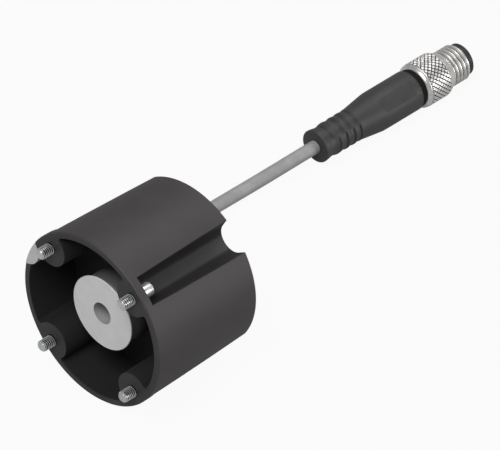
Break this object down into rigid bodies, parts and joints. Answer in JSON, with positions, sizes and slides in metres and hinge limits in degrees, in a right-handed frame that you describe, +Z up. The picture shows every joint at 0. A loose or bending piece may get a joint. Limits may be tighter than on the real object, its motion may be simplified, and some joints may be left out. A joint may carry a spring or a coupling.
{
  "type": "rotary position sensor",
  "caption": "Round housed rotary position sensor with a hollow rotor, screw fixing, grooved side walls and a short lead ending in a round threaded plug.",
  "frame": {"origin": "centre of the front mounting face, on the rotor's axis", "axes": "+Y along the rotor's axis from the front face towards the cable side, +Z up, the screws at 45 degrees to X and Z"},
  "size_m": [0.0557, 0.1282, 0.0377],
  "materials": {
    "housing_plastic": "moulded dark grey plastic with a fine satin texture",
    "insert_plastic": "moulded light grey plastic",
    "screw_steel": "bright zinc-plated steel",
    "hub_metal": "fine turned",
    "magnet_plating": "nickel-plated magnet",
    "washer_plastic": "plain white bearing plastic",
    "bush_bronze": "sintered bronze",
    "ring_steel": "phosphated spring steel",
    "board_laminate": "solder-masked laminate",
    "chip_resin": "moulded chip resin",
    "capacitor_ceramic": "ceramic",
    "header_plastic": "moulded natural plastic",
    "core_jackets": "coloured core insulation",
    "gasket_rubber": "soft black rubber",
    "cover_plastic": "moulded dark grey plastic with a fine satin texture",
    "gland_rubber": "moulded black elastomer",
    "lead_jacket": "grey cable jacket",
    "tie_plastic": "black nylon",
    "boot_plastic": "moulded black grip",
    "carrier_plastic": "moulded black insulator",
    "pin_plating": "gold-plated brass",
    "nut_nickel": "nickel-plated brass"
  },
  "bodies": {
    "body": {"housing": "housing_plastic", "locating_insert": "insert_plastic", "mounting_screw_1": "screw_steel", "mounting_screw_2": "screw_steel", "mounting_screw_3": "screw_steel", "mounting_screw_4": "screw_steel", "bearing_bush": "bush_bronze", "circuit_board": "board_laminate", "hall_chip": "chip_resin", "processor_chip": "chip_resin", "capacitors": "capacitor_ceramic", "wire_header": "header_plastic", "lead_cores": "core_jackets", "cover_gasket": "gasket_rubber", "rear_cover": "cover_plastic", "cover_screw_1": "screw_steel", "cover_screw_2": "screw_steel", "cable_gland": "gland_rubber", "lead_start": "lead_jacket", "lead_coil": "lead_jacket", "lead_end": "lead_jacket", "coil_tie": "tie_plastic", "plug_boot": "boot_plastic", "contact_carrier": "carrier_plastic", "contact_pin_1": "pin_plating", "contact_pin_2": "pin_plating", "contact_pin_3": "pin_plating", "contact_pin_4": "pin_plating"},
    "rotor": {"rotor_hub": "hub_metal", "sensor_magnet": "magnet_plating", "thrust_washer": "washer_plastic", "retaining_ring": "ring_steel"},
    "plug_nut": {"coupling_nut": "nut_nickel"}
  },
  "joints": [
    {"name": "rotor_spin", "type": "hinge", "parent": "body", "child": "rotor", "pos_m": [0, 0, 0], "axis": [0, 1, 0], "continuous": true},
    {"name": "nut_spin", "type": "hinge", "parent": "body", "child": "plug_nut", "pos_m": [-0.02196, 0.115, -0.01398], "axis": [0, 1, 0], "continuous": true}
  ]
}
